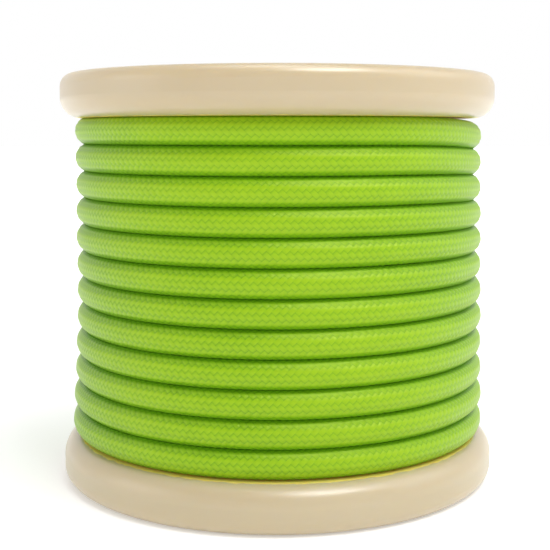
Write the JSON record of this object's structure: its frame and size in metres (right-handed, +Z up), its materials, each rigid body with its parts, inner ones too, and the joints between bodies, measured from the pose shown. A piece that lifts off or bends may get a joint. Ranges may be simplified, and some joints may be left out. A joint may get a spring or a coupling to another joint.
{
  "type": "cord spool",
  "caption": "Round spool with two thick bull-nosed flanges on a barrel, wound full width with braided cord; a round bore runs through along its axis.",
  "frame": {"origin": "on the spool's axis, in the face that the spool stands on", "axes": "+Z up along the spool's axis, -Y the front"},
  "size_m": [0.1, 0.1, 0.0924],
  "materials": {
    "moulded_plastic": "smooth glossy ivory moulding",
    "braid": "lime green braid with a silky sheen",
    "shrink_sleeve": "satin black shrink sleeve"
  },
  "bodies": {
    "root": {"top_flange": "moulded_plastic", "bottom_flange": "moulded_plastic", "barrel": "moulded_plastic", "arbor_tube": "moulded_plastic", "cord_winding": "braid", "cord_inner_end": "braid", "cord_outer_end": "braid", "inner_end_sleeve": "shrink_sleeve", "outer_end_sleeve": "shrink_sleeve"}
  },
  "joints": []
}
